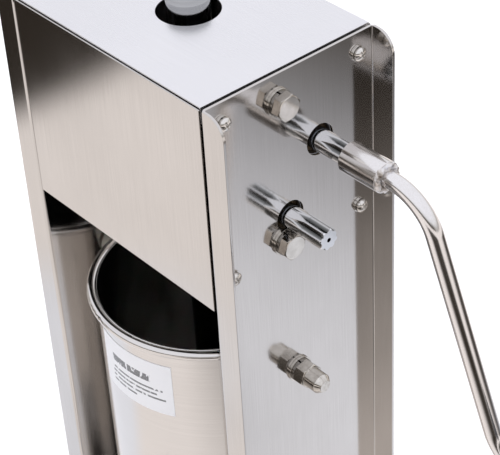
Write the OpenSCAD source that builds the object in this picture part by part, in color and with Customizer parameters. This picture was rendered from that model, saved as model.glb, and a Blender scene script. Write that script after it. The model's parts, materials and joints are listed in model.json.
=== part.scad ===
// Upright hand-cranked sausage stuffer with a two-position gearbox, a rack-driven piston and a lift-out cylinder.
// Millimetres, +Z up, front of the machine towards -Y, crank on the +X side.
// The origin is on the floor, under the cylinder's axis.

/* [Housing] */
// Width over the two side webs
body_w = 200; // [196:1:206]
// Depth of the side webs, front to back
body_d = 144; // [142:1:150]
// Height of the top cover above the floor
top_z = 642; // [640:1:660]
// Sheet thickness of the side panels
panel_t = 2; // [1.5:0.1:2.5]
// Sheet thickness of the covers
cover_t = 1.2; // [1:0.1:1.5]
// Width of the panels' outward flanges, over the web
flange_w = 18.7; // [16:0.1:24]
// Radius of the flanges' top corners
flange_corner_r = 15; // [8:0.5:15]
// Height of the gearbox covers
gearbox_h = 158.6; // [156:0.1:164]
// Gap between a cover and the side web
cover_gap = 1.5; // [0.5:0.1:1.5]
// Diameter of the rack's hole in the top cover
top_hole_d = 44; // [36:1:50]
// Diameter of the two shaft holes in the right web
shaft_hole_d = 23; // [21:0.5:25]

/* [Drive] */
// Diameter of the drive shafts
shaft_d = 16; // [15:0.5:17]
// Distance of the upper shaft behind the rack's axis
upper_shaft_y = 22.5; // [22.5:0.1:22.8]
// Depth of the upper shaft below the top cover
upper_shaft_drop = 66; // [64:0.5:68]
// Angle of the line between the shafts, from straight down towards the front
shaft_line_angle = 30.8; // [26:0.2:36]
// Reach of the lower shaft beyond the web
lower_shaft_reach = 37; // [32:1:40]
// Module of the reduction gears
gear_module = 2.5; // [2.5:0.5:2.5]
// Teeth of the large gear
gear_teeth = 33; // [33:1:33]
// Teeth of the small pinion
pinion_teeth = 11; // [11:1:11]
// Module of the rack and its pinion
rack_module = 2; // [2:0.5:2]
// Teeth of the rack pinion
rack_pinion_teeth = 12; // [12:1:12]
// Diameter of the rack rod
rack_d = 30; // [29:0.5:31]
// Height of the rack's end above the top cover at rest
rack_end_h = 12; // [6:1:30]
// Full stroke of the piston
stroke = 375; // [300:5:375]

/* [Cylinder] */
// Outer diameter of the cylinder's wall
cyl_d = 169; // [160:0.5:169]
// Wall thickness of the cylinder
cyl_t = 1.2; // [1:0.1:1.5]
// Depth of the cylinder's rim below the top cover
rim_drop = 222; // [218:1:230]
// Diameter of the rolled bead
bead_d = 7; // [5:0.5:8]
// Height of the outlet's axis above the cylinder's foot
outlet_h = 36; // [35:0.5:40]
// Outer diameter of the outlet pipe
outlet_d = 46; // [42:1:48]
// Length of the stuffing nozzle's tube
nozzle_len = 150; // [100:5:180]
// Outer diameter of the nozzle's free end
nozzle_tip_d = 22; // [18:1:26]

/* [Base] */
// Width of the base tray
base_w = 270; // [250:5:320]
// Reach of the base in front of the cylinder's axis
base_front = 138; // [125:1:150]
// Reach of the base behind the cylinder's axis
base_back = 112; // [100:1:140]
// Height of the base tray's top
base_z = 60; // [56:1:64]
// Height of the rubber feet
foot_h = 18; // [12:1:22]

/* [Crank] */
// Outer diameter of the crank's socket
socket_d = 22; // [21:0.5:24]
// Start of the socket, from the web
socket_start = 28; // [27:0.5:32]
// Length of the socket
socket_len = 33; // [30:1:40]
// Diameter of the crank's rod
crank_rod_d = 12; // [10:0.5:13]
// Straight piece of the rod between the socket and the first bend
crank_neck = 6; // [3:0.5:12]
// Radius of the rod's bends, at its centre
crank_bend_r = 35; // [28:1:45]
// Turn of each bend
crank_turn = 75; // [60:1:85]
// Straight length between the bends
crank_len = 156; // [120:1:200]
// Swing of the crank at rest, from straight down towards the back
crank_swing = 6.2; // [0:0.1:12]
// Length of the grip
grip_len = 100; // [80:1:120]
// Diameter of the grip at its middle
grip_d = 32; // [26:1:36]

/* [Hidden] */
$fn = 64;
web_x = body_w / 2;
half_d = body_d / 2;
wall_x = web_x - panel_t;
cover_x = wall_x - cover_gap;
flange_x = web_x + flange_w;
gearbox_z = top_z - gearbox_h;
upper_y = upper_shaft_y;
upper_z = top_z - upper_shaft_drop;
shaft_gap = gear_module * (gear_teeth + pinion_teeth) / 2;
lower_y = upper_y - shaft_gap * sin(shaft_line_angle);
lower_z = upper_z - shaft_gap * cos(shaft_line_angle);
mesh_angle = 270 - shaft_line_angle;
screw_y = half_d - 15;
screw_zs = [top_z - 16, top_z - 136.5];
bolt_y = -12;
bolt_zs = [top_z - 21.5, top_z - 130.5];
guide_y = -4;
guide_z = top_z - 248;
rim_z = top_z - rim_drop;
cyl_z = base_z;
cyl_r = cyl_d / 2;
cyl_in = cyl_r - cyl_t;
outlet_z = cyl_z + outlet_h;
outlet_r = outlet_d / 2;
outlet_y = -118;
pressure = 20;
plate_t = 10;
plate_in = wall_x - plate_t;
bush_len = plate_t - 4;
inner_plate_x = 34;
inner_plate_t = 8;
gear_x0 = 62;
gear_w = 18;
run_gap = 0.05;
fit_gap = 0.1;
piston_z = 72;
piston_t = 20;
piston_r = cyl_in - 1.8;
valve_y = -52;
rack_y = upper_y - rack_module * rack_pinion_teeth / 2;
crank_x0 = web_x + socket_start;
crank_x1 = crank_x0 + socket_len;
bend_x = crank_x1 + crank_neck;
arm_s = sin(crank_turn);
arm_c = cos(crank_turn);
arm_x1 = bend_x + crank_bend_r * arm_s;
arm_z1 = -crank_bend_r * (1 - arm_c);
arm_x2 = arm_x1 + crank_len * arm_c;
arm_z2 = arm_z1 - crank_len * arm_s;
grip_x0 = arm_x2 + crank_bend_r * arm_s;
grip_z = arm_z2 - crank_bend_r * (1 - arm_c);
grip_start = grip_x0 + 6;

// Shaft direction: a shape drawn in XY and extruded along Z is laid so that Z becomes the machine's X.
module along_x(x = 0, y = 0, z = 0)
{
    translate([x, y, z])
        rotate([90, 0, 90])
            children();
}

// A round bar along X.
module bar_x(x0, x1, y, z, d)
{
    along_x(x0, y, z)
        cylinder(h = x1 - x0, d = d);
}

// Both sides of the machine.
module both_sides()
{
    children();
    mirror([1, 0, 0])
        children();
}

// Involute of an angle, in degrees.
function involute(a) = tan(a) * 180 / PI - a;

// Half of a tooth's angle at radius r, for pitch radius rp, base radius rb and half pitch angle hp.
function half_tooth(r, rp, rb, hp) =
    hp + involute(acos(rb / rp)) - involute(r > rb ? acos(rb / r) : 0);

// Outline of a spur gear. add and ded are its tooth's height and depth, play is taken off each flank.
module gear_outline(m, n, add, ded, play, phase)
{
    rp = m * n / 2;
    rb = rp * cos(pressure);
    root = rp - ded;
    tip = rp + add;
    low = max(root, rb);
    hp = 90 / n - play / rp * 180 / PI;
    steps = 4;
    radii = [for (k = [0 : steps]) low + (tip - low) * k / steps];
    polygon([
        for (i = [0 : n - 1])
            let (mid = phase + i * 360 / n)
                each concat(
                    [let (a = mid - half_tooth(low, rp, rb, hp)) root * [cos(a), sin(a)]],
                    [for (r = radii) let (a = mid - half_tooth(r, rp, rb, hp)) r * [cos(a), sin(a)]],
                    [for (k = [steps : -1 : 0])
                        let (r = radii[k], a = mid + half_tooth(r, rp, rb, hp)) r * [cos(a), sin(a)]],
                    [let (a = mid + half_tooth(low, rp, rb, hp)) root * [cos(a), sin(a)]]
                )
    ]);
}

// Hex head or nut with chamfered corners, standing on z = 0. af is the width across flats.
module hex_head(af, h)
{
    corner = af / cos(30);
    chamfer = 0.14 * af;
    intersection()
    {
        cylinder(h = h, d = corner, $fn = 6);
        union()
        {
            cylinder(h = h - chamfer / 2, d = corner + 1);
            translate([0, 0, h - chamfer / 2])
                cylinder(h = chamfer / 2, d1 = corner + 1, d2 = corner + 1 - 2 * chamfer);
        }
    }
}

// Flat washer on z = 0.
module washer(d_out, d_in, t)
{
    difference()
    {
        cylinder(h = t, d = d_out);
        translate([0, 0, -1])
            cylinder(h = t + 2, d = d_in);
    }
}

// Split spring washer on z = 0.
module spring_washer(d_out, d_in, t)
{
    slit = 1.2;
    difference()
    {
        washer(d_out, d_in, t);
        rotate([0, 0, 100])
            translate([0, -slit / 2, -1])
                cube([d_out, slit, t + 2]);
    }
}

// Side panel: web, front and back flanges turned outwards, and a foot on the base.
module side_panel_sheet()
{
    h = top_z - 1 - base_z;
    translate([wall_x, -half_d, base_z])
        cube([panel_t, body_d, h]);
    for (y = [-half_d, half_d - panel_t])
        translate([wall_x, y + panel_t, base_z])
            rotate([90, 0, 0])
                linear_extrude(height = panel_t)
                    union()
                    {
                        square([flange_w + panel_t, h - flange_corner_r]);
                        square([flange_w + panel_t - flange_corner_r, h]);
                        intersection()
                        {
                            translate([flange_w + panel_t - flange_corner_r, h - flange_corner_r])
                                circle(r = flange_corner_r);
                            square([flange_w + panel_t, h]);
                        }
                    }
    translate([wall_x, -half_d, base_z])
        cube([flange_w + panel_t - 1, body_d, panel_t]);
}

// Holes common to both webs.
module panel_holes()
{
    for (z = screw_zs, s = [-1, 1])
        bar_x(wall_x - 1, web_x + 1, s * screw_y, z, 5.4);
    for (z = bolt_zs)
        bar_x(wall_x - 1, web_x + 1, bolt_y, z, 10.4);
    bar_x(wall_x - 1, web_x + 1, guide_y, guide_z, 10.4);
    for (y = [-40, 40])
        translate([foot_bolt_x, y, base_z - 1])
            cylinder(h = panel_t + 2, d = 6.6);
}

foot_bolt_x = web_x + 9;

module right_side_panel()
{
    color([0.74, 0.73, 0.72])
        difference()
        {
            side_panel_sheet();
            panel_holes();
            bar_x(wall_x - 1, web_x + 1, upper_y, upper_z, shaft_hole_d);
            bar_x(wall_x - 1, web_x + 1, lower_y, lower_z, shaft_hole_d);
        }
}

module left_side_panel()
{
    color([0.74, 0.73, 0.72])
        mirror([1, 0, 0])
            difference()
            {
                side_panel_sheet();
                panel_holes();
            }
}

// Top cover: a shallow folded pan with the rack's hole.
module top_cover()
{
    lip = 12;
    y0 = half_d - 1.6;
    color([0.86, 0.86, 0.88])
        difference()
        {
            union()
            {
                translate([-cover_x, -y0, top_z - cover_t])
                    cube([2 * cover_x, 2 * y0, cover_t]);
                for (x = [-cover_x, cover_x - cover_t])
                    translate([x, -y0, top_z - lip])
                        cube([cover_t, 2 * y0, lip]);
            }
            translate([0, 0, top_z - lip - 1])
                cylinder(h = lip + 2, d = top_hole_d);
        }
}

// Front or back cover, drawn for the front: face, side returns with screw holes, and a bottom lip.
module gearbox_cover()
{
    z1 = top_z - cover_t - 0.4;
    return_d = 24;
    lip = 12;
    difference()
    {
        union()
        {
            translate([-cover_x, -half_d, gearbox_z])
                cube([2 * cover_x, cover_t, z1 - gearbox_z]);
            for (x = [-cover_x, cover_x - cover_t])
                translate([x, -half_d, gearbox_z])
                    cube([cover_t, return_d, z1 - gearbox_z - 12]);
            translate([-cover_x, -half_d, gearbox_z])
                cube([2 * cover_x, lip, cover_t]);
        }
        for (z = screw_zs)
            bar_x(-web_x, web_x, -screw_y, z, 5.4);
    }
}

module front_cover()
{
    color([0.80, 0.78, 0.75])
        gearbox_cover();
}

module rear_cover()
{
    color([0.80, 0.78, 0.75])
        mirror([0, 1, 0])
            gearbox_cover();
}

// Weld nuts behind the covers' returns.
module cover_nuts()
{
    color([0.70, 0.70, 0.71])
        both_sides()
            for (z = screw_zs, s = [-1, 1])
                along_x(cover_x - cover_t - 4.1, s * screw_y, z)
                    difference()
                    {
                        cylinder(h = 4, d = 9.2, $fn = 6);
                        translate([0, 0, -1])
                            cylinder(h = 6, d = 5.2);
                    }
}

// Floor of the gearbox, between the covers' bottom lips.
module gearbox_floor()
{
    t = 3;
    y0 = half_d - 24.5;
    color([0.72, 0.72, 0.72])
        difference()
        {
            union()
            {
                translate([-wall_x + 0.2, -y0, gearbox_z + 2])
                    cube([2 * wall_x - 0.4, 2 * y0, t]);
                for (x = [-wall_x + 0.2, wall_x - 0.2 - t])
                    translate([x, -y0, gearbox_z + 2])
                        cube([t, 2 * y0, 8]);
            }
            translate([0, 0, gearbox_z])
                cylinder(h = 20, d = 38.4);
        }
}

// Bearing plate bolted inside a side web.
module bearing_plate_blank(x0, t)
{
    translate([x0, -40, gearbox_z + 12])
        cube([t, 88, top_z - 13 - gearbox_z - 12]);
}

module right_bearing_plate()
{
    color([0.45, 0.46, 0.48])
        difference()
        {
            bearing_plate_blank(plate_in, plate_t - 0.2);
            bar_x(plate_in - 1, wall_x + 1, upper_y, upper_z, shaft_d + 6.2);
            bar_x(plate_in - 1, wall_x + 1, lower_y, lower_z, shaft_d + 6.2);
            for (z = bolt_zs)
                bar_x(plate_in - 1, wall_x + 1, bolt_y, z, 10.2);
            for (p = pillar_pts)
                bar_x(plate_in - 1, wall_x + 1, p[0], p[1], 8.2);
        }
}

module left_bearing_plate()
{
    color([0.45, 0.46, 0.48])
        difference()
        {
            mirror([1, 0, 0])
                bearing_plate_blank(plate_in, plate_t - 0.2);
            bar_x(-wall_x - 1, -plate_in + 1, upper_y, upper_z, shaft_d + 6.2);
            for (z = bolt_zs)
                bar_x(-wall_x - 1, -plate_in + 1, bolt_y, z, 10.2);
        }
}

pillar_pts = [[-34, top_z - 60], [41, top_z - 20], [36, top_z - 140], [-34, top_z - 140]];

module inner_bearing_plate()
{
    color([0.45, 0.46, 0.48])
        difference()
        {
            bearing_plate_blank(inner_plate_x, inner_plate_t);
            bar_x(0, web_x, upper_y, upper_z, shaft_d + 6.2);
            bar_x(0, web_x, lower_y, lower_z, shaft_d + 6.2);
            for (p = pillar_pts)
                bar_x(0, web_x, p[0], p[1], 8.2);
        }
}

// Pillars that hold the inner plate, each with a shouldered end at both plates.
module bearing_pillars()
{
    color([0.66, 0.67, 0.69])
        for (p = pillar_pts)
        {
            bar_x(inner_plate_x + inner_plate_t + fit_gap, plate_in - fit_gap, p[0], p[1], 10);
            bar_x(inner_plate_x - 1, wall_x - 1, p[0], p[1], 8);
        }
}

// Flanged bush with its flange towards -x.
module flanged_bush(x, y, z, t)
{
    along_x(x, y, z)
        difference()
        {
            union()
            {
                cylinder(h = t, d = shaft_d + 6);
                translate([0, 0, -1.5])
                    cylinder(h = 1.4, d = shaft_d + 9);
                translate([0, 0, -0.2])
                    cylinder(h = 0.4, d = shaft_d + 6);
            }
            translate([0, 0, -3])
                cylinder(h = t + 6, d = shaft_d + 2 * run_gap);
        }
}

module shaft_bushes()
{
    color([0.72, 0.53, 0.25])
    {
        flanged_bush(plate_in, upper_y, upper_z, bush_len);
        flanged_bush(plate_in, lower_y, lower_z, bush_len);
        flanged_bush(inner_plate_x, upper_y, upper_z, inner_plate_t);
        flanged_bush(inner_plate_x, lower_y, lower_z, inner_plate_t);
        mirror([1, 0, 0])
            flanged_bush(plate_in, upper_y, upper_z, bush_len);
    }
}

// Guide sleeve of the rack in the gearbox floor.
module rack_guide()
{
    color([0.86, 0.85, 0.80])
        difference()
        {
            union()
            {
                translate([0, 0, gearbox_z + 0.5])
                    cylinder(h = 24, d = 38);
                translate([0, 0, gearbox_z + 5.1])
                    cylinder(h = 4, d = 52);
            }
            translate([0, 0, gearbox_z - 1])
                cylinder(h = 30, d = rack_d + 2 * run_gap);
        }
}

// Pressure pad that keeps the rack against its pinion, on a bracket from the floor.
module rack_backing()
{
    color([0.86, 0.85, 0.80])
        difference()
        {
            translate([-16, -30, upper_z - 20])
                cube([32, 22, 40]);
            translate([0, 0, upper_z - 21])
                cylinder(h = 42, d = rack_d + 2 * run_gap);
        }
}

module backing_bracket()
{
    z0 = gearbox_z + 5.1;
    color([0.45, 0.46, 0.48])
        difference()
        {
            union()
            {
                translate([-16, -36.1, z0])
                    cube([32, 6, upper_z + 22 - z0]);
                translate([-16, -52, z0])
                    cube([32, 16.5, 4]);
            }
            translate([0, 0, z0 - 1])
                cylinder(h = 6, d = 52.4);
        }
}

// Pan-head cross-recess screws, four on each side.
module cover_screws()
{
    head_r = 4.9;
    head_h = 3.4;
    dome_r = 6.4;
    seat = web_x + 1.9;
    color([0.82, 0.82, 0.82])
        both_sides()
            for (z = screw_zs, s = [-1, 1])
                along_x(0, s * screw_y, z)
                    difference()
                    {
                        union()
                        {
                            translate([0, 0, cover_x - 6])
                                cylinder(h = seat - cover_x + 7, d = 5);
                            intersection()
                            {
                                translate([0, 0, seat])
                                    cylinder(h = head_h, r = head_r);
                                translate([0, 0, seat + head_h - dome_r])
                                    sphere(r = dome_r);
                            }
                        }
                        for (a = [20, 110])
                            rotate([0, 0, a])
                                translate([-3, -0.6, seat + head_h - 1.8])
                                    cube([6, 1.2, 3]);
                    }
}

module cover_screw_washers()
{
    color([0.78, 0.78, 0.78])
        both_sides()
            for (z = screw_zs, s = [-1, 1])
                along_x(web_x, s * screw_y, z)
                    washer(11, 5.3, 1);
}

module cover_screw_spring_washers()
{
    color([0.66, 0.66, 0.67])
        both_sides()
            for (z = screw_zs, s = [-1, 1])
                along_x(web_x + 1, s * screw_y, z)
                    spring_washer(9.2, 5.3, 0.9);
}

// Hex bolts that hold the bearing plates.
module hex_bolts()
{
    color([0.80, 0.79, 0.77])
        both_sides()
            for (z = bolt_zs)
                along_x(0, bolt_y, z)
                {
                    translate([0, 0, plate_in + 1])
                        cylinder(h = web_x + 5 - plate_in, d = 10);
                    translate([0, 0, web_x + 4.3])
                        rotate([0, 0, 10])
                            hex_head(17, 6.8);
                }
}

module hex_bolt_washers()
{
    color([0.78, 0.78, 0.78])
        both_sides()
            for (z = bolt_zs)
                along_x(web_x, bolt_y, z)
                    washer(20, 10.4, 1.9);
}

module hex_bolt_spring_washers()
{
    color([0.66, 0.66, 0.67])
        both_sides()
            for (z = bolt_zs)
                along_x(web_x + 1.9, bolt_y, z)
                    spring_washer(18, 10.4, 2.4);
}

// Nylon pads that centre the cylinder between the webs.
module guide_pads()
{
    color([0.88, 0.87, 0.84])
        both_sides()
            difference()
            {
                along_x(cyl_r + 0.6, guide_y, guide_z)
                    cylinder(h = wall_x - cyl_r - 0.7, d = 30);
                bar_x(wall_x - 5.1, web_x, guide_y, guide_z, 10.2);
            }
}

module guide_studs()
{
    color([0.70, 0.70, 0.71])
        both_sides()
            bar_x(wall_x - 5, web_x + 16, guide_y, guide_z, 10);
}

module cap_nuts()
{
    color([0.82, 0.82, 0.82])
        both_sides()
            along_x(web_x + 4.3, guide_y, guide_z)
                difference()
                {
                    union()
                    {
                        rotate([0, 0, 10])
                            hex_head(17, 9);
                        intersection()
                        {
                            cylinder(h = 23, r = 7.6);
                            union()
                            {
                                cylinder(h = 18.5, r = 8);
                                translate([0, 0, 18.5])
                                    cylinder(h = 4.5, r1 = 8, r2 = 4.6);
                            }
                        }
                    }
                    translate([0, 0, -1])
                        cylinder(h = 15, d = 10.2);
                }
}

module cap_nut_washers()
{
    color([0.78, 0.78, 0.78])
        both_sides()
            along_x(web_x, guide_y, guide_z)
                washer(20, 10.4, 1.9);
}

module cap_nut_spring_washers()
{
    color([0.66, 0.66, 0.67])
        both_sides()
            along_x(web_x + 1.9, guide_y, guide_z)
                spring_washer(18, 10.4, 2.4);
}

// Meat cylinder: wall, rolled bead, foot plate and outlet pipe.
module meat_cylinder()
{
    bead_r = bead_d / 2;
    wall_h = rim_z - cyl_z;
    foot_t = 6;
    color([0.82, 0.81, 0.80])
        difference()
        {
            union()
            {
                difference()
                {
                    union()
                    {
                        translate([0, 0, cyl_z])
                            cylinder(h = wall_h - 1, r = cyl_r, $fn = 128);
                        translate([0, 0, cyl_z])
                            cylinder(h = 3, r = cyl_r + 1.5, $fn = 128);
                        translate([0, 0, outlet_z])
                            rotate([90, 0, 0])
                                cylinder(h = -outlet_y, r = outlet_r);
                        translate([0, 0, outlet_z])
                            rotate([90, 0, 0])
                                translate([0, 0, -outlet_y - 15])
                                    cylinder(h = 15, r = outlet_r + 2);
                    }
                    translate([0, 0, cyl_z + foot_t])
                        cylinder(h = wall_h, r = cyl_in, $fn = 128);
                }
                translate([0, 0, rim_z - bead_r])
                    rotate_extrude($fn = 128)
                        translate([cyl_r + bead_r - 0.6, 0])
                            circle(r = bead_r, $fn = 32);
            }
            translate([0, -30, outlet_z])
                rotate([90, 0, 0])
                    cylinder(h = 120, r = outlet_r - 2.5);
            for (x = [-55, 55])
                translate([x, 0, cyl_z - 1])
                    cylinder(h = 5, d = 10.6);
        }
}

// Plain label on the cylinder's wall.
module cylinder_label()
{
    a0 = -18;
    a1 = 30;
    label_t = 0.25;
    color([0.95, 0.95, 0.94])
        translate([0, 0, rim_z - 67])
            rotate_extrude(angle = a1 - a0, start = 270 + a0, $fn = 128)
                translate([cyl_r, 0])
                    square([label_t, 47]);
}

module nozzle_gasket()
{
    color([0.85, 0.84, 0.80])
        translate([0, outlet_y, outlet_z])
            rotate([90, 0, 0])
                washer(2 * outlet_r + 2, 2 * outlet_r - 5, 1.5);
}

// Stuffing nozzle: flange, short cone and slim tapered tube.
module stuffing_nozzle()
{
    flange_y = -outlet_y + 1.5;
    flange_t = 2;
    cone_l = 24;
    r0 = outlet_r - 4;
    r1 = nozzle_tip_d / 2 + 3;
    r2 = nozzle_tip_d / 2;
    wall = 1.2;
    color([0.83, 0.83, 0.84])
        translate([0, 0, outlet_z])
            rotate([90, 0, 0])
                difference()
                {
                    union()
                    {
                        translate([0, 0, flange_y])
                            cylinder(h = flange_t, r = outlet_r + 1.2);
                        translate([0, 0, flange_y + flange_t])
                            cylinder(h = cone_l, r1 = r0, r2 = r1);
                        translate([0, 0, flange_y + flange_t + cone_l])
                            cylinder(h = nozzle_len - cone_l, r1 = r1, r2 = r2);
                    }
                    translate([0, 0, flange_y - 0.5])
                        cylinder(h = flange_t + 0.5, r = r0 - wall);
                    translate([0, 0, flange_y + flange_t])
                        cylinder(h = cone_l, r1 = r0 - wall, r2 = r1 - wall);
                    translate([0, 0, flange_y + flange_t + cone_l])
                        cylinder(h = nozzle_len - cone_l + 0.5, r1 = r1 - wall, r2 = r2 - wall);
                }
}

// Ring nut that clamps the nozzle's flange.
module nozzle_ring_nut()
{
    y0 = -outlet_y - 13;
    h = 22;
    lobes = 12;
    outer = outlet_r + 8;
    color([0.80, 0.80, 0.80])
        translate([0, 0, outlet_z])
            rotate([90, 0, 0])
                difference()
                {
                    translate([0, 0, y0])
                        cylinder(h = h, r = outer);
                    translate([0, 0, y0 - 1])
                        cylinder(h = h - 4, r = outlet_r + 2 + run_gap);
                    translate([0, 0, y0])
                        cylinder(h = h + 1, r = outlet_r - 3);
                    for (i = [0 : lobes - 1])
                        rotate([0, 0, i * 360 / lobes])
                            translate([outer + 2.4, 0, y0 - 1])
                                cylinder(h = h + 2, r = 5, $fn = 32);
                }
}

// Base tray: folded sheet, open underneath, with turned-in lips.
module base_tray()
{
    t = 2;
    lip = 14;
    x0 = base_w / 2;
    h = base_z - foot_h;
    len_y = base_front + base_back;
    color([0.74, 0.73, 0.72])
        difference()
        {
            translate([-x0, -base_front, foot_h])
                cube([base_w, len_y, h]);
            translate([-x0 + t, -base_front + t, foot_h + t])
                cube([base_w - 2 * t, len_y - 2 * t, h - 2 * t]);
            translate([-x0 + lip, -base_front + lip, foot_h - 1])
                cube([base_w - 2 * lip, len_y - 2 * lip, t + 2]);
            for (x = [-55, 55])
                translate([x, 0, base_z - t - 1])
                    cylinder(h = t + 2, d = 10.1);
            for (s = [-1, 1], y = [-40, 40])
                translate([s * foot_bolt_x, y, base_z - t - 1])
                    cylinder(h = t + 2, d = 6.6);
        }
}

foot_pts = [
    [base_w / 2 - 26, -base_front + 26],
    [-base_w / 2 + 26, -base_front + 26],
    [base_w / 2 - 26, base_back - 26],
    [-base_w / 2 + 26, base_back - 26]
];

// Corner plates inside the tray that carry the feet.
module foot_brackets()
{
    color([0.66, 0.66, 0.66])
        for (p = foot_pts)
            difference()
            {
                translate([p[0] - 23.5, p[1] - 23.5, foot_h + 2.1])
                    cube([47, 47, 2]);
                translate([p[0], p[1], foot_h])
                    cylinder(h = 8, d = 6.4);
            }
}

module rubber_feet()
{
    color([0.09, 0.09, 0.09])
        for (p = foot_pts)
            translate([p[0], p[1], 0])
                difference()
                {
                    union()
                    {
                        cylinder(h = foot_h - 0.1, d1 = 34, d2 = 40);
                    }
                    translate([0, 0, -1])
                        cylinder(h = 7, d = 14);
                    translate([0, 0, -1])
                        cylinder(h = foot_h + 2, d = 6.4);
                }
}

// Feet stay clear of the lip, so a spacer ring sits between foot and bracket.
module foot_screws()
{
    color([0.70, 0.70, 0.71])
        for (p = foot_pts)
            translate([p[0], p[1], 0])
            {
                translate([0, 0, 2])
                    cylinder(h = 3.8, d = 11);
                translate([0, 0, 2])
                    cylinder(h = foot_h + 10, d = 6);
            }
}

module foot_nuts()
{
    color([0.70, 0.70, 0.71])
        for (p = foot_pts)
            translate([p[0], p[1], foot_h + 4.2])
                difference()
                {
                    hex_head(10, 5);
                    translate([0, 0, -1])
                        cylinder(h = 7, d = 6.2);
                }
}

module panel_foot_bolts()
{
    color([0.80, 0.79, 0.77])
        for (s = [-1, 1], y = [-40, 40])
            translate([s * foot_bolt_x, y, 0])
            {
                translate([0, 0, base_z + panel_t + 1.2])
                    hex_head(10, 4.2);
                translate([0, 0, base_z - 12])
                    cylinder(h = 16, d = 6);
            }
}

module panel_foot_washers()
{
    color([0.78, 0.78, 0.78])
        for (s = [-1, 1], y = [-40, 40])
            translate([s * foot_bolt_x, y, base_z + panel_t])
                washer(12.5, 6.4, 1.2);
}

module panel_foot_nuts()
{
    color([0.70, 0.70, 0.71])
        for (s = [-1, 1], y = [-40, 40])
            translate([s * foot_bolt_x, y, base_z - 2.1])
                mirror([0, 0, 1])
                    difference()
                    {
                        hex_head(10, 5);
                        translate([0, 0, -1])
                            cylinder(h = 7, d = 6.2);
                    }
}

// Pins that locate the cylinder on the base.
module locating_pins()
{
    color([0.70, 0.70, 0.71])
        for (x = [-55, 55])
            translate([x, 0, base_z - 8])
            {
                cylinder(h = 11, d = 10);
                cylinder(h = 5.9, d = 15);
            }
}

// Rack rod: teeth along its back, stud for the piston below.
module rack_rod()
{
    pitch = PI * rack_module;
    play = 0.15;
    tip_y = rack_y + 0.675 * rack_module;
    root_y = rack_y - 1.2 * rack_module;
    half_pitch_w = pitch / 4 - play;
    tip_w = half_pitch_w - (tip_y - rack_y) * tan(pressure);
    root_w = half_pitch_w + (rack_y - root_y) * tan(pressure);
    n_low = ceil((stroke + 12) / pitch);
    n_high = 7;
    out = rack_d;
    color([0.76, 0.77, 0.79])
        difference()
        {
            union()
            {
                translate([0, 0, piston_z + piston_t + 0.1])
                    cylinder(h = top_z + rack_end_h - 2.5 - piston_z - piston_t - 0.1, d = rack_d);
                translate([0, 0, top_z + rack_end_h - 2.5])
                    cylinder(h = 2.5, d1 = rack_d, d2 = rack_d - 5);
                translate([0, 0, piston_z + 1])
                    cylinder(h = piston_t, d = 16);
            }
            translate([-rack_d, 0, upper_z])
                rotate([90, 0, 90])
                    linear_extrude(height = 2 * rack_d)
                        polygon(concat(
                            [[out, -(n_low + 0.5) * pitch + tip_w]],
                            [for (i = [-n_low : n_high]) each [
                                [tip_y, (i - 0.5) * pitch + tip_w],
                                [root_y, (i - 0.5) * pitch + root_w],
                                [root_y, (i + 0.5) * pitch - root_w],
                                [tip_y, (i + 0.5) * pitch - tip_w]
                            ]],
                            [[out, (n_high + 0.5) * pitch - tip_w]]
                        ));
        }
}

module piston_plate()
{
    groove_d = 7;
    color([0.90, 0.90, 0.88])
        difference()
        {
            translate([0, 0, piston_z])
                cylinder(h = piston_t, r = piston_r, $fn = 128);
            translate([0, 0, piston_z + 6.5])
                difference()
                {
                    cylinder(h = groove_d, r = piston_r + 1, $fn = 128);
                    translate([0, 0, -1])
                        cylinder(h = groove_d + 2, r = piston_r - 4, $fn = 128);
                }
            translate([0, 0, piston_z - 1])
                cylinder(h = piston_t + 2, d = 16.2);
            translate([0, 0, piston_z - 1])
                cylinder(h = 11, d = 30);
            translate([0, valve_y, piston_z - 1])
                cylinder(h = piston_t + 2, d = 16.2);
        }
}

module piston_seal()
{
    color([0.83, 0.80, 0.74])
        translate([0, 0, piston_z + 6.7])
            difference()
            {
                cylinder(h = 6.6, r = cyl_in - 0.4, $fn = 128);
                translate([0, 0, -1])
                    cylinder(h = 9, r = piston_r - 3.9, $fn = 128);
            }
}

module piston_nut()
{
    color([0.80, 0.80, 0.80])
        translate([0, 0, piston_z + 9.9])
            mirror([0, 0, 1])
                difference()
                {
                    hex_head(24, 8.5);
                    translate([0, 0, -1])
                        cylinder(h = 11, d = 16.2);
                }
}

// Seat of the air valve in the piston.
module valve_seat()
{
    color([0.72, 0.53, 0.25])
        translate([0, valve_y, 0])
            difference()
            {
                union()
                {
                    translate([0, 0, piston_z + 1])
                        cylinder(h = piston_t, d = 16);
                    translate([0, 0, piston_z + piston_t + 0.1])
                        cylinder(h = 3, d = 22);
                }
                translate([0, 0, piston_z])
                    cylinder(h = piston_t + 6, d = 8 + 2 * run_gap);
            }
}

module valve_pin()
{
    color([0.80, 0.80, 0.80])
        translate([0, valve_y, 0])
        {
            translate([0, 0, piston_z - 4])
                cylinder(h = piston_t + 14, d = 8);
            translate([0, 0, piston_z - 4.5])
                cylinder(h = 1.4, d = 13);
            translate([0, 0, piston_z + piston_t + 3.2])
                cylinder(h = 8, d = 14);
        }
}

// Cutter of one V groove: a sloping stretch that runs out to a point, then full depth to the end.
module groove_cutter(a, root_r, full_z, end_z)
{
    section = [[0, 0], [2.2, -4.08], [2.2, 4.08]];
    slope = 9;
    run_out = 16;
    rotate([0, 0, a])
        translate([root_r, 0, full_z])
        {
            linear_extrude(height = end_z - full_z)
                polygon(section);
            rotate([0, -slope, 0])
                translate([0, 0, -run_out])
                    linear_extrude(height = run_out)
                        polygon(section);
        }
}

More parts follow.
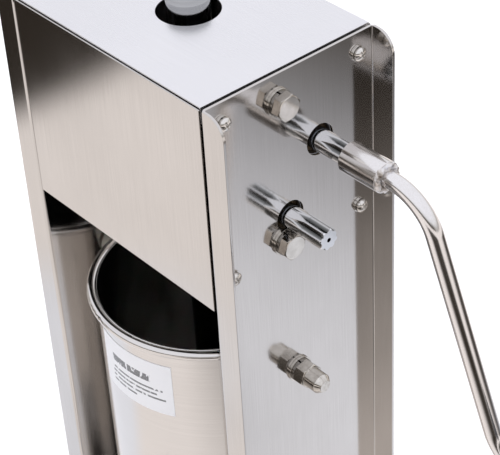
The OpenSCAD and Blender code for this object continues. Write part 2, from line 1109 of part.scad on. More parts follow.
// Splined end of a drive shaft: eight V grooves that run out to points, then a chamfer and a centre hole.
module splined_end(x0, x1, y, z)
{
    grooves = 8;
    first_a = 7;
    bar_r = shaft_d / 2;
    chamfer = 0.8;
    len = x1 - x0;
    along_x(x0, y, z)
        difference()
        {
            union()
            {
                cylinder(h = len - chamfer, r = bar_r);
                translate([0, 0, len - chamfer])
                    cylinder(h = chamfer, r1 = bar_r, r2 = bar_r - chamfer);
            }
            for (i = [0 : grooves - 1])
                groove_cutter(first_a + i * 360 / grooves, bar_r - 1.9, 12.3, len + 1);
            translate([0, 0, len - 5])
                cylinder(h = 6, d = 3.2);
        }
}

module upper_shaft()
{
    color([0.78, 0.80, 0.83])
    {
        bar_x(-wall_x + 1.5, web_x + 6, upper_y, upper_z, shaft_d);
        splined_end(web_x + 6, web_x + socket_start + 20, upper_y, upper_z);
    }
}

module lower_shaft()
{
    color([0.78, 0.80, 0.83])
    {
        bar_x(inner_plate_x - 2, web_x + 6, lower_y, lower_z, shaft_d);
        splined_end(web_x + 6, web_x + lower_shaft_reach, lower_y, lower_z);
    }
}

module large_gear()
{
    hub_d = 34;
    color([0.50, 0.51, 0.53])
        along_x(0, upper_y, upper_z)
            difference()
            {
                union()
                {
                    translate([0, 0, gear_x0])
                        linear_extrude(height = gear_w)
                            gear_outline(gear_module, gear_teeth, 1.7, 3.1, 0.15, mesh_angle);
                    translate([0, 0, gear_x0 - 6])
                        cylinder(h = gear_w + 8, d = hub_d);
                }
                translate([0, 0, gear_x0 - 8])
                    cylinder(h = gear_w + 16, d = shaft_d + 2 * fit_gap);
                for (i = [0 : 4])
                    rotate([0, 0, i * 72])
                        translate([26, 0, gear_x0 - 1])
                            cylinder(h = gear_w + 2, d = 12);
            }
}

module small_pinion()
{
    color([0.50, 0.51, 0.53])
        along_x(0, lower_y, lower_z)
            difference()
            {
                translate([0, 0, gear_x0 - 1])
                    linear_extrude(height = gear_w + 2)
                        gear_outline(gear_module, pinion_teeth, gear_module, 2.3, 0.15,
                                     mesh_angle + 180 + 180 / pinion_teeth);
                translate([0, 0, gear_x0 - 8])
                    cylinder(h = gear_w + 16, d = shaft_d + 2 * fit_gap);
            }
}

module rack_pinion()
{
    color([0.50, 0.51, 0.53])
        along_x(-14, upper_y, upper_z)
            difference()
            {
                linear_extrude(height = 28)
                    gear_outline(rack_module, rack_pinion_teeth, rack_module, 1.7, 0.12, 0);
                translate([0, 0, -1])
                    cylinder(h = 30, d = shaft_d + 2 * fit_gap);
            }
}

// Collars that hold the shafts endways.
module shaft_collars()
{
    color([0.30, 0.30, 0.31])
        for (x = [-82, 18])
            along_x(x, upper_y, upper_z)
                washer(26, shaft_d + 2 * fit_gap, 8);
}

module lower_shaft_collar()
{
    color([0.30, 0.30, 0.31])
        along_x(46, lower_y, lower_z)
            washer(26, shaft_d + 2 * fit_gap, 8);
}

// The crank's parts are drawn around the upper shaft and swung together.
module crank_frame()
{
    translate([0, upper_y, upper_z])
        rotate([crank_swing, 0, 0])
            children();
}

module crank_socket()
{
    wall_end = 8;
    color([0.79, 0.78, 0.77])
        crank_frame()
            difference()
            {
                bar_x(crank_x0, crank_x1, 0, 0, socket_d);
                bar_x(crank_x0 - 1, crank_x1 - wall_end - 2, 0, 0, shaft_d + 2 * run_gap);
                bar_x(crank_x1 - wall_end, crank_x1 + 1, 0, 0, crank_rod_d + 2 * fit_gap);
                bar_x(crank_x1 - 1.6, crank_x1 + 1, 0, 0, socket_d - 4);
            }
}

// Rod of the crank: neck, bend, long arm, counter bend and spindle.
module crank_arm()
{
    lap = 1.5;
    bend_d = crank_rod_d - 0.2;
    color([0.79, 0.78, 0.77])
        crank_frame()
        {
            bar_x(crank_x1 - 7.5, bend_x + lap, 0, 0, crank_rod_d);
            translate([bend_x, 0, -crank_bend_r])
                rotate([90, 0, 0])
                    rotate_extrude(angle = crank_turn, start = 90 - crank_turn)
                        translate([crank_bend_r, 0])
                            circle(d = bend_d);
            translate([arm_x1 - lap * arm_c, 0, arm_z1 + lap * arm_s])
                rotate([0, 90 + crank_turn, 0])
                    cylinder(h = crank_len + 2 * lap, d = crank_rod_d);
            translate([arm_x2 + crank_bend_r * arm_s, 0, arm_z2 + crank_bend_r * arm_c])
                rotate([90, 0, 0])
                    rotate_extrude(angle = crank_turn, start = 270 - crank_turn)
                        translate([crank_bend_r, 0])
                            circle(d = bend_d);
            bar_x(grip_x0 - lap, grip_start + grip_len + 6, 0, grip_z, crank_rod_d);
        }
}

// Weld bead where the rod enters the socket.
module crank_weld()
{
    color([0.66, 0.65, 0.64])
        crank_frame()
            along_x(crank_x1 - 1.4, 0, 0)
                difference()
                {
                    rotate_extrude()
                        translate([crank_rod_d / 2 + 1.2, 0])
                            circle(r = 1.6, $fn = 24);
                    translate([0, 0, -3])
                        cylinder(h = 6, d = crank_rod_d + 2 * fit_gap);
                    translate([0, 0, -3])
                        cylinder(h = 2.9, d = 30);
                }
}

module grip_stop()
{
    color([0.78, 0.78, 0.78])
        crank_frame()
            along_x(grip_start - 2.6, 0, grip_z)
                washer(20, crank_rod_d + 2 * fit_gap, 2);
}

module grip_end_nut()
{
    color([0.82, 0.82, 0.82])
        crank_frame()
            along_x(grip_start + grip_len + 0.6, 0, grip_z)
                difference()
                {
                    union()
                    {
                        cylinder(h = 1.6, d = 22);
                        translate([0, 0, 1.6])
                            hex_head(17, 6);
                        translate([0, 0, 4])
                            cylinder(h = 6, d1 = 15.5, d2 = 9);
                    }
                    translate([0, 0, -1])
                        cylinder(h = 6.8, d = crank_rod_d + 2 * fit_gap);
                }
}

// Turning grip: a barrel with rounded ends on the crank's spindle.
module crank_grip()
{
    end_r = 4;
    mid_r = grip_d / 2;
    neck_r = mid_r - 3;
    color([0.07, 0.07, 0.08])
        crank_frame()
            along_x(grip_start, 0, grip_z)
                rotate_extrude($fn = 96)
                    difference()
                    {
                        union()
                        {
                            translate([0, end_r])
                                square([neck_r, grip_len - 2 * end_r]);
                            square([neck_r - end_r, grip_len]);
                            for (y = [end_r, grip_len - end_r])
                                translate([neck_r - end_r, y])
                                    circle(r = end_r);
                            polygon([
                                [0, end_r],
                                [neck_r, end_r],
                                [mid_r - 0.6, grip_len * 0.3],
                                [mid_r, grip_len * 0.45],
                                [mid_r, grip_len * 0.6],
                                [mid_r - 1, grip_len * 0.78],
                                [neck_r, grip_len - end_r],
                                [0, grip_len - end_r]
                            ]);
                        }
                        translate([-50, -1])
                            square([50 + crank_rod_d / 2 + run_gap, grip_len + 2]);
                    }
}

base_tray();
foot_brackets();
rubber_feet();
foot_screws();
foot_nuts();
right_side_panel();
left_side_panel();
panel_foot_bolts();
panel_foot_washers();
panel_foot_nuts();
top_cover();
front_cover();
rear_cover();
cover_nuts();
gearbox_floor();
right_bearing_plate();
left_bearing_plate();
inner_bearing_plate();
bearing_pillars();
shaft_bushes();
rack_guide();
rack_backing();
backing_bracket();
cover_screws();
cover_screw_washers();
cover_screw_spring_washers();
hex_bolts();
hex_bolt_washers();
hex_bolt_spring_washers();
guide_pads();
guide_studs();
cap_nuts();
cap_nut_washers();
cap_nut_spring_washers();
meat_cylinder();
cylinder_label();
locating_pins();
nozzle_gasket();
stuffing_nozzle();
nozzle_ring_nut();
rack_rod();
piston_plate();
piston_seal();
piston_nut();
valve_seat();
valve_pin();
upper_shaft();
large_gear();
rack_pinion();
shaft_collars();
lower_shaft();
small_pinion();
lower_shaft_collar();
crank_socket();
crank_arm();
crank_weld();
grip_stop();
grip_end_nut();
crank_grip();
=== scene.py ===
"""Upright sausage stuffer: finishes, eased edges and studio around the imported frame."""
import json
from math import cos, pi, radians, sin

import bmesh
import bpy
from mathutils import Matrix, Quaternion, Vector, noise

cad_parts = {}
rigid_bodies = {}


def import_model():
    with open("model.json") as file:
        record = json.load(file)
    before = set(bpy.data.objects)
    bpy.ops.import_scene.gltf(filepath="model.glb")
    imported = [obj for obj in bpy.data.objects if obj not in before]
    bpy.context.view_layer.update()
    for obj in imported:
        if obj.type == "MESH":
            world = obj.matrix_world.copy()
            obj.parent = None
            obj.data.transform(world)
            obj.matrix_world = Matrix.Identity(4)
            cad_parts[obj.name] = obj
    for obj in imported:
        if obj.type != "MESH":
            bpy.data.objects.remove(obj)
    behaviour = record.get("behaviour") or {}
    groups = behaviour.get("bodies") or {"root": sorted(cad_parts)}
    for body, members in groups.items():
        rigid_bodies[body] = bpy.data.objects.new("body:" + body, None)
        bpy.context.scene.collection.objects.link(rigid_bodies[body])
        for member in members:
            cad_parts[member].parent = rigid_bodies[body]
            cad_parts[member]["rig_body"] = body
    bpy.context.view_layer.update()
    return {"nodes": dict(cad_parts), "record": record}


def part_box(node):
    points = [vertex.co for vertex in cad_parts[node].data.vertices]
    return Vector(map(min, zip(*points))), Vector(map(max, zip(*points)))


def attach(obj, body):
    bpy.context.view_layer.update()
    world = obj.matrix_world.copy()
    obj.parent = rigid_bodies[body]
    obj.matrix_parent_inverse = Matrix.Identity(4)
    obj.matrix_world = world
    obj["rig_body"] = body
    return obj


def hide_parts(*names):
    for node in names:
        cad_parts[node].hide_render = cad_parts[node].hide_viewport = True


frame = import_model()

MM = 0.001
SAME_POINT = 0.000002       # corners closer than this, in metres, are one corner
SAME_PLACE = 0.00004        # an edge this near a stated place, in metres, lies on it
CLOUD_SHIFT = (3.1, 1.7, 0.4)
SLOTS = {row["node"]: row["material_slot"] for row in frame["record"]["subparts"]}


# ---------------------------------------------------------------- material building

def new_material(name, colour, roughness, metallic=0.0):
    """A material with its shader, its tree and an object-coordinate source."""
    material = bpy.data.materials.new(name)
    material.use_nodes = True
    tree = material.node_tree
    shader = tree.nodes["Principled BSDF"]
    shader.inputs["Base Color"].default_value = (*colour, 1.0)
    shader.inputs["Roughness"].default_value = roughness
    shader.inputs["Metallic"].default_value = metallic
    coords = tree.nodes.new("ShaderNodeTexCoord").outputs["Object"]
    return material, tree, shader, coords


def add_noise(tree, coords, stretch, detail=3.0, rough=0.55, shift=(0.0, 0.0, 0.0)):
    """Noise of about one cell per unit after the coordinates are stretched."""
    mapping = tree.nodes.new("ShaderNodeMapping")
    mapping.inputs["Location"].default_value = shift
    mapping.inputs["Scale"].default_value = stretch
    tree.links.new(coords, mapping.inputs["Vector"])
    cells = tree.nodes.new("ShaderNodeTexNoise")
    cells.inputs["Scale"].default_value = 1.0
    cells.inputs["Detail"].default_value = detail
    cells.inputs["Roughness"].default_value = rough
    tree.links.new(mapping.outputs["Vector"], cells.inputs["Vector"])
    return cells.outputs["Fac"]


def add_maths(tree, operation, first, second=None):
    """One math step on sockets or numbers."""
    step = tree.nodes.new("ShaderNodeMath")
    step.operation = operation
    for index, value in enumerate((first, second)):
        if value is None:
            continue
        if isinstance(value, (int, float)):
            step.inputs[index].default_value = value
        else:
            tree.links.new(value, step.inputs[index])
    return step.outputs[0]


def add_range(tree, value, low, high, to_low, to_high):
    """A value stretched from one range to another."""
    step = tree.nodes.new("ShaderNodeMapRange")
    for index, number in enumerate((low, high, to_low, to_high)):
        step.inputs[index + 1].default_value = number
    tree.links.new(value, step.inputs["Value"])
    return step.outputs["Result"]


def add_ramp(tree, value, stops):
    """Colours along a value: stops are (place, colour)."""
    ramp = tree.nodes.new("ShaderNodeValToRGB")
    row = ramp.color_ramp.elements
    while len(row) < len(stops):
        row.new(0.5)
    for element, (place, colour) in zip(row, stops):
        element.position = place
        element.color = (*colour, 1.0)
    tree.links.new(value, ramp.inputs["Fac"])
    return ramp.outputs["Color"]


def add_bump(tree, shader, height, depth):
    """Relief of a given depth, in metres."""
    bump = tree.nodes.new("ShaderNodeBump")
    bump.inputs["Strength"].default_value = 1.0
    bump.inputs["Distance"].default_value = depth
    tree.links.new(height, bump.inputs["Height"])
    tree.links.new(bump.outputs["Normal"], shader.inputs["Normal"])


def add_blend(tree, first, second, share):
    """Two values added, the first by its share and the second by the rest."""
    return add_maths(tree, "ADD", add_maths(tree, "MULTIPLY", first, share),
                     add_maths(tree, "MULTIPLY", second, 1.0 - share))


def add_axes(tree, coords):
    """The coordinates taken apart into X, Y and Z."""
    parts = tree.nodes.new("ShaderNodeSeparateXYZ")
    tree.links.new(coords, parts.inputs["Vector"])
    return parts.outputs


def grained_steel(name, dark, light, rough, spread, grain, depth, cloud=9.0):
    """Steel with a directional grain, faint clouds of handling and matching relief."""
    material, tree, shader, coords = new_material(name, light, rough, 1.0)
    lines = add_noise(tree, coords, grain, 3.0, 0.6)
    clouds = add_noise(tree, coords, (cloud, cloud, cloud * 0.7), 4.0, 0.6, CLOUD_SHIFT)
    tone = add_blend(tree, lines, clouds, 0.45)
    colour = add_ramp(tree, tone, [(0.32, dark), (0.68, light)])
    tree.links.new(colour, shader.inputs["Base Color"])
    gloss = add_range(tree, tone, 0.3, 0.7, rough + spread, rough - spread)
    tree.links.new(gloss, shader.inputs["Roughness"])
    add_bump(tree, shader, lines, depth)
    return material


def moulded(name, dark, light, rough, cell, depth, sheen=0.0, coat=0.0, soft=0.0):
    """Plastic or rubber with a fine moulded grain and slight uneven tone."""
    material, tree, shader, coords = new_material(name, light, rough)
    grain = add_noise(tree, coords, (cell, cell, cell), 2.0, 0.5)
    clouds = add_noise(tree, coords, (24.0, 24.0, 24.0), 3.0, 0.6, (0.3, 4.0, 2.0))
    tone = add_blend(tree, grain, clouds, 0.35)
    colour = add_ramp(tree, tone, [(0.3, dark), (0.7, light)])
    tree.links.new(colour, shader.inputs["Base Color"])
    gloss = add_range(tree, clouds, 0.3, 0.7, rough - 0.06, rough + 0.08)
    tree.links.new(gloss, shader.inputs["Roughness"])
    shader.inputs["Sheen Weight"].default_value = sheen
    shader.inputs["Coat Weight"].default_value = coat
    shader.inputs["Subsurface Weight"].default_value = soft
    shader.inputs["Subsurface Scale"].default_value = 0.002
    add_bump(tree, shader, grain, depth)
    return material


def heat_tinted_weld():
    """Weld metal: ripples, straw and blue heat tint, small pits."""
    material, tree, shader, coords = new_material("weld_metal", (0.4, 0.38, 0.36), 0.38, 1.0)
    tint = add_noise(tree, coords, (160.0, 160.0, 160.0), 3.0, 0.6)
    pits = add_noise(tree, coords, (1300.0, 1300.0, 1300.0), 2.0, 0.5)
    colour = add_ramp(tree, tint, [(0.3, (0.24, 0.20, 0.17)), (0.42, (0.62, 0.58, 0.54)),
                                   (0.56, (0.80, 0.79, 0.79)), (0.7, (0.52, 0.53, 0.58))])
    tree.links.new(colour, shader.inputs["Base Color"])
    tree.links.new(add_range(tree, pits, 0.3, 0.7, 0.28, 0.5), shader.inputs["Roughness"])
    add_bump(tree, shader, pits, 0.00012)
    return material


def across_height(tree, across, height):
    """Two lengths joined into one coordinate, in millimetres."""
    joined = tree.nodes.new("ShaderNodeCombineXYZ")
    tree.links.new(across, joined.inputs["X"])
    tree.links.new(height, joined.inputs["Y"])
    return joined.outputs["Vector"]


LABEL_RADIUS = 84.5
LABEL_BARS = [  # middle height, thickness, start and end across the label, in millimetres
    (383.6, 6.4, -13.0, 26.0), (374.6, 1.7, -14.0, 36.0), (370.4, 1.7, -14.0, 31.0),
    (366.2, 1.7, -14.0, 38.0), (362.0, 1.7, -14.0, 12.0),
]


def printed_film():
    """White label film with plain grey bars in place of print."""
    material, tree, shader, coords = new_material("printed_film", (0.86, 0.86, 0.85), 0.35)
    axes = add_axes(tree, coords)
    along = add_maths(tree, "ARCTAN2", axes["X"], add_maths(tree, "MULTIPLY", axes["Y"], -1.0))
    across = add_maths(tree, "MULTIPLY", along, LABEL_RADIUS)
    height = add_maths(tree, "MULTIPLY", axes["Z"], 1 / MM)
    ink = None
    for middle, tall, start, end in LABEL_BARS:
        row = add_maths(tree, "COMPARE", height, middle)
        row.node.inputs[2].default_value = tall / 2
        span = add_maths(tree, "COMPARE", across, (start + end) / 2)
        span.node.inputs[2].default_value = (end - start) / 2
        bar = add_maths(tree, "MULTIPLY", row, span)
        ink = bar if ink is None else add_maths(tree, "MAXIMUM", ink, bar)
    gaps = add_noise(tree, across_height(tree, across, height), (0.42, 0.11, 1.0), 1.0, 0.5)
    words = add_maths(tree, "GREATER_THAN", gaps, 0.40)
    inked = add_maths(tree, "MULTIPLY", ink, words)
    wear = add_noise(tree, coords, (900.0, 900.0, 900.0), 3.0, 0.6)
    shade = add_maths(tree, "MULTIPLY", inked, add_range(tree, wear, 0.3, 0.6, 0.7, 0.95))
    colour = add_ramp(tree, shade, [(0.0, (0.86, 0.86, 0.87)), (1.0, (0.07, 0.075, 0.08))])
    tree.links.new(colour, shader.inputs["Base Color"])
    tree.links.new(add_range(tree, wear, 0.3, 0.7, 0.3, 0.42), shader.inputs["Roughness"])
    shader.inputs["Coat Weight"].default_value = 0.25
    add_bump(tree, shader, wear, 0.00001)
    return material


SPLINE_LAND = 7.75          # radius of a shaft's splines, in millimetres
SPLINE_FLOOR = 6.2          # radius at the bottom of the grooves between them
FACE_DEPTH = 0.7            # how far the end of a shaft, kept free of the painted groove shade, reaches in


def grooved_plating(name, end, y, z):
    """Bright plating on a shaft along X, with painted shade darkening the grooves below its
    splines.
    """
    material, tree, shader, coords = new_material(name, (0.8, 0.82, 0.85), 0.1, 1.0)
    axes = add_axes(tree, coords)
    off_y = add_maths(tree, "SUBTRACT", axes["Y"], y * MM)
    off_z = add_maths(tree, "SUBTRACT", axes["Z"], z * MM)
    squares = add_maths(tree, "ADD", add_maths(tree, "MULTIPLY", off_y, off_y),
                        add_maths(tree, "MULTIPLY", off_z, off_z))
    radius = add_maths(tree, "SQRT", squares)
    # Painted shade: the colour darkens towards the groove floors, by distance from the shaft's
    # axis.
    sides = add_range(tree, radius, SPLINE_FLOOR * MM, SPLINE_LAND * MM, 0.0, 1.0)
    face = add_maths(tree, "GREATER_THAN", axes["X"], (end - FACE_DEPTH) * MM)
    outside_groove_shade = add_maths(tree, "MAXIMUM", sides, add_maths(tree, "MULTIPLY", face, 0.9))
    streaks = add_noise(tree, coords, TURNED_X, 3.0, 0.6)
    clouds = add_noise(tree, coords, (70.0, 70.0, 70.0), 4.0, 0.6, CLOUD_SHIFT)
    tone = add_maths(tree, "MULTIPLY", outside_groove_shade, add_range(tree, clouds, 0.3, 0.7, 0.86, 1.0))
    colour = add_ramp(tree, tone, [(0.0, (0.10, 0.105, 0.105)), (0.55, (0.30, 0.315, 0.32)),
                                   (0.86, (0.78, 0.80, 0.83)), (1.0, (0.88, 0.90, 0.94))])
    tree.links.new(colour, shader.inputs["Base Color"])
    tree.links.new(add_range(tree, streaks, 0.3, 0.7, 0.06, 0.16), shader.inputs["Roughness"])
    add_bump(tree, shader, streaks, 0.00001)
    return material


def turned_face_steel(name, face, dark, light):
    """Forged bolt steel: a bright turned face this far out, in millimetres, and flanks painted
    darker as shade.
    """
    material, tree, shader, coords = new_material(name, light, 0.12, 1.0)
    out = add_maths(tree, "ABSOLUTE", add_axes(tree, coords)["X"])
    bright = add_maths(tree, "COMPARE", out, face * MM)
    bright.node.inputs[2].default_value = 0.25 * MM
    grain = add_noise(tree, coords, EVEN, 3.0, 0.6)
    clouds = add_noise(tree, coords, (90.0, 90.0, 90.0), 4.0, 0.6, CLOUD_SHIFT)
    mottle = add_range(tree, clouds, 0.3, 0.7, 0.0, 0.4)
    # Painted shade: the flanks keep only the mottle and stay dark, while the turned face is lifted
    # towards the light colour.
    tone = add_maths(tree, "ADD", mottle, add_maths(tree, "MULTIPLY", bright, 0.6))
    tree.links.new(add_ramp(tree, tone, [(0.0, dark), (1.0, light)]), shader.inputs["Base Color"])
    tree.links.new(add_range(tree, grain, 0.3, 0.7, 0.08, 0.17), shader.inputs["Roughness"])
    add_bump(tree, shader, grain, 0.000006)
    return material


# Grain: cells per metre along X, Y and Z.
UPRIGHT = (1500.0, 1500.0, 14.0)
CROSSWISE = (14.0, 1500.0, 1500.0)
HOOPS = (10.0, 10.0, 1600.0)
TURNED_X = (2200.0, 60.0, 60.0)
MILLED_X = (30.0, 700.0, 700.0)
FORGED = (300.0, 500.0, 500.0)
EVEN = (900.0, 900.0, 900.0)

FINISHES = {
    "sheet_steel": grained_steel("brushed_sheet", (0.56, 0.54, 0.52), (0.66, 0.64, 0.62),
                                 0.11, 0.03, UPRIGHT, 0.000008),
    "cover_steel": grained_steel("satin_cover", (0.755, 0.755, 0.77), (0.81, 0.81, 0.825),
                                 0.27, 0.02, CROSSWISE, 0.000004),
    "polished_steel": grained_steel("polished_cylinder", (0.65, 0.635, 0.62), (0.72, 0.705, 0.69),
                                    0.12, 0.03, HOOPS, 0.00002),
    "rack_steel": grained_steel("ground_rack", (0.30, 0.305, 0.31), (0.47, 0.475, 0.48),
                                0.10, 0.03, HOOPS, 0.00001),
    "plated_steel": grained_steel("zinc_plating", (0.50, 0.54, 0.58), (0.76, 0.80, 0.85),
                                  0.10, 0.05, TURNED_X, 0.00002, 70.0),
    "fastener_steel": grained_steel("bright_fastener", (0.62, 0.60, 0.57), (0.80, 0.78, 0.75),
                                    0.08, 0.04, EVEN, 0.000006, 60.0),
    "plate_steel": grained_steel("machined_plate", (0.24, 0.25, 0.27), (0.38, 0.39, 0.41),
                                 0.36, 0.06, MILLED_X, 0.00006),
    "gear_steel": grained_steel("greased_gear", (0.12, 0.11, 0.10), (0.30, 0.29, 0.28),
                                0.30, 0.10, EVEN, 0.00005, 45.0),
    # Bushes painted nearly black: oiled bronze darkened further as painted shade inside the shaft
    # holes.
    "bronze": grained_steel("oiled_and_shade_darkened_bronze", (0.06, 0.045, 0.03), (0.13, 0.095, 0.055),
                            0.42, 0.08, TURNED_X, 0.00003, 50.0),
    "nylon": moulded("cast_nylon", (0.66, 0.64, 0.57), (0.76, 0.74, 0.68), 0.46, 700.0, 0.00003,
                     soft=0.15),
    "piston_plastic": moulded("piston_nylon", (0.74, 0.74, 0.71), (0.82, 0.82, 0.80), 0.36, 900.0,
                              0.00002, soft=0.1),
    "seal_silicone": moulded("silicone", (0.60, 0.56, 0.48), (0.70, 0.66, 0.58), 0.42, 500.0,
                             0.00002, soft=0.25),
    "foot_rubber": moulded("foot_rubber", (0.018, 0.018, 0.018), (0.045, 0.043, 0.04), 0.68,
                           1100.0, 0.00008, sheen=0.15),
    "grip_plastic": moulded("grip_plastic", (0.012, 0.012, 0.013), (0.028, 0.028, 0.03), 0.42,
                            1500.0, 0.00005, coat=0.05),
    "crank_steel": grained_steel("satin_crank", (0.74, 0.72, 0.71), (0.82, 0.81, 0.81),
                                 0.13, 0.03, EVEN, 0.000003, 30.0),
    "label_film": printed_film(),
}
WELD = heat_tinted_weld()
# Spring washers painted dark: painted shade that outlines them in their gaps.
SHADE_DARKENED_ZINC = grained_steel("shade_darkened_washer", (0.20, 0.19, 0.175), (0.42, 0.40, 0.375),
                          0.24, 0.06, EVEN, 0.00002, 120.0)
# The cap nuts' own forged tone; on the flat washers the darker colour is painted shade that
# outlines them.
FORGED_HEAD_AND_WASHER_SHADE = grained_steel("forged_head_and_washer_shade", (0.42, 0.395, 0.36), (0.74, 0.715, 0.67),
                            0.10, 0.05, FORGED, 0.000008, 90.0)


# ---------------------------------------------------------------- piece building

def put_in_place(name, mesh, body, finish, nodes):
    """A finished piece that rides on a body and stands for CAD nodes."""
    piece = bpy.data.objects.new(name, mesh)
    bpy.context.scene.collection.objects.link(piece)
    piece.data.materials.clear()
    piece.data.materials.append(finish)
    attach(piece, body)
    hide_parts(*nodes)
    return piece


def merged_copy(node):
    """A node's shape with its loose triangles joined and its flat faces whole."""
    shape = bmesh.new()
    shape.from_mesh(frame["nodes"][node].data)
    bmesh.ops.remove_doubles(shape, verts=shape.verts, dist=SAME_POINT)
    bmesh.ops.dissolve_limit(shape, angle_limit=radians(0.4), verts=shape.verts,
                             edges=shape.edges)
    return shape


def edges_at(shape, x=None, y=None, z=None):
    """Edges whose two ends both lie at the given places, in millimetres."""
    wanted = [(axis, place * MM) for axis, place in enumerate((x, y, z)) if place is not None]
    return [edge for edge in shape.edges
            if all(abs(end.co[axis] - place) < SAME_PLACE
                   for end in edge.verts for axis, place in wanted)]


def round_fold(shape, radius, steps=5, **place):
    """A folded corner rounded to a radius in millimetres."""
    edges = edges_at(shape, **place)
    bmesh.ops.bevel(shape, geom=edges, offset=radius * MM, offset_type="OFFSET", segments=steps,
                    profile=0.5, affect="EDGES", material=-1, clamp_overlap=False)


def finish_shape(name, shape, node, ease, steps=2, sharp=32.0, finish=None):
    """Shape to piece: smooth faces, crisp or eased edges, the node's own slot and body."""
    for face in shape.faces:
        face.smooth = True
    if not ease:
        for edge in shape.edges:
            edge.smooth = not (edge.is_manifold and edge.calc_face_angle(0.0) > radians(sharp))
    mesh = bpy.data.meshes.new(name)
    shape.to_mesh(mesh)
    shape.free()
    slot = SLOTS[node]
    body = frame["nodes"][node]["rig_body"]
    piece = put_in_place(name, mesh, body, finish or FINISHES[slot], [node])
    if ease:
        soften = piece.modifiers.new("eased_edges", "BEVEL")
        soften.width = ease * MM
        soften.segments = steps
        soften.limit_method = "ANGLE"
        soften.angle_limit = radians(sharp)
        soften.use_clamp_overlap = False
        soften.harden_normals = True
        soften.miter_outer = "MITER_SHARP"
    level = piece.modifiers.new("level_faces", "WEIGHTED_NORMAL")
    level.mode = "FACE_AREA"
    level.weight = 100
    level.keep_sharp = True
    return piece


def side_panel(node, side):
    """Folded side panel: both flange folds and the foot's fold rounded."""
    shape = merged_copy(node)
    for y in (-72, 72):
        round_fold(shape, 2.6, x=98 * side, y=y)
    for y in (-70, 70):
        round_fold(shape, 0.9, x=100 * side, y=y)
    return finish_shape(node + "_sheet", shape, node, 0.22)


def gearbox_cover(node, front):
    """Folded cover: the two upright folds beside its face rounded."""
    shape = merged_copy(node)
    for x in (-97, 97):
        round_fold(shape, 2.2, x=x, y=72 * front)
    return finish_shape(node + "_sheet", shape, node, 0.2)


def base_sheet():
    """Base tray with rounded corners and top edge."""
    shape = merged_copy("base_tray")
    for x in (-135, 135):
        for y in (-138, 112):
            round_fold(shape, 4.0, x=x, y=y)
    return finish_shape("base_tray_sheet", shape, "base_tray", 1.2, 4)


for node, side in (("right_side_panel", 1), ("left_side_panel", -1)):
    side_panel(node, side)
for node, front in (("front_cover", -1), ("rear_cover", 1)):
    gearbox_cover(node, front)
base_sheet()

top_sheet = merged_copy("top_cover")
for x in (-97, 97):
    round_fold(top_sheet, 1.1, x=x, z=642)
finish_shape("top_cover_sheet", top_sheet, "top_cover", 0.25)


def shaft_line(node):
    """Where a shaft ends in X, and the Y and Z of its line, in millimetres."""
    low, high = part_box(node)
    return high[0] / MM, (low[1] + high[1]) / 2 / MM, (low[2] + high[2]) / 2 / MM


# How much each node's edges are eased, in millimetres. Toothed nodes and the label stay crisp.
EASES = {
    "foot_brackets": 0.3, "rubber_feet": 1.2, "foot_screws": 0.3, "foot_nuts": 0.2,
    "panel_foot_bolts": 0.2, "panel_foot_washers": 0.15, "panel_foot_nuts": 0.2, "cover_nuts": 0.2,
    "gearbox_floor": 0.3, "right_bearing_plate": 0.5, "left_bearing_plate": 0.5,
    "inner_bearing_plate": 0.5, "bearing_pillars": 0.3, "shaft_bushes": 0.25, "rack_guide": 0.6,
    "rack_backing": 0.6, "backing_bracket": 0.5, "cover_screws": 0.15, "cover_screw_washers": 0.12,
    "cover_screw_spring_washers": 0.12, "hex_bolts": 0.25, "hex_bolt_washers": 0.2,
    "hex_bolt_spring_washers": 0.2, "guide_pads": 0.6, "guide_studs": 0.5, "cap_nuts": 0.3,
    "cap_nut_washers": 0.2, "cap_nut_spring_washers": 0.2, "locating_pins": 0.5,
    "nozzle_gasket": 0.2, "stuffing_nozzle": 0.25, "nozzle_ring_nut": 0.8, "piston_plate": 0.5,
    "piston_seal": 0.4, "piston_nut": 0.3, "valve_seat": 0.25, "valve_pin": 0.4,
    "shaft_collars": 0.4, "lower_shaft_collar": 0.4, "crank_socket": 0.5, "grip_stop": 0.3,
    "grip_end_nut": 0.3, "meat_cylinder": 0.3, "upper_shaft": 0.12, "lower_shaft": 0.12,
    "rack_rod": 0, "large_gear": 0, "small_pinion": 0, "rack_pinion": 0, "cylinder_label": 0,
    "crank_grip": 0.3,
}
OWN_FINISHES = {
    "hex_bolts": turned_face_steel("hex_head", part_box("hex_bolts")[1][0] / MM,
                                   (0.34, 0.315, 0.285), (0.80, 0.775, 0.73)),
    "cap_nuts": FORGED_HEAD_AND_WASHER_SHADE, "hex_bolt_spring_washers": SHADE_DARKENED_ZINC,
    "cap_nut_spring_washers": SHADE_DARKENED_ZINC, "cover_screw_spring_washers": SHADE_DARKENED_ZINC,
    "hex_bolt_washers": FORGED_HEAD_AND_WASHER_SHADE, "cap_nut_washers": FORGED_HEAD_AND_WASHER_SHADE,
    "upper_shaft": grooved_plating("upper_shaft_plating", *shaft_line("upper_shaft")),
    "lower_shaft": grooved_plating("lower_shaft_plating", *shaft_line("lower_shaft")),
}
for node, ease in EASES.items():
    finish_shape(node + "_finished", merged_copy(node), node, ease, finish=OWN_FINISHES.get(node))


# ---------------------------------------------------------------- crank rod and weld

CRANK_SWING = 6.2           # degrees, about the shaft
ROD_RADIUS = 6              # this and the lengths below are in millimetres
ROD_START = 153.5
ROD_NECK = 13.5
ROD_BEND = 35
ROD_BEND_DEGREES = 75
ROD_ARM = 156
ROD_SPINDLE = 112
WELD_PLACE = 160.2
WELD_RING = 8.2
WELD_BEAD = 2.7


def crank_axes():
    """The crank's own frame: X along the shaft, swung back a little about it."""
    end, y, z = shaft_line("upper_shaft")
    return (Matrix.Translation((0, y * MM, z * MM))
            @ Matrix.Rotation(radians(CRANK_SWING), 4, "X"))


def turned_ring(place, axis):
    """Where a flat ring goes: at a place, turned a quarter about an axis."""
    return Matrix.Translation(place) @ Matrix.Rotation(pi / 2, 4, axis)


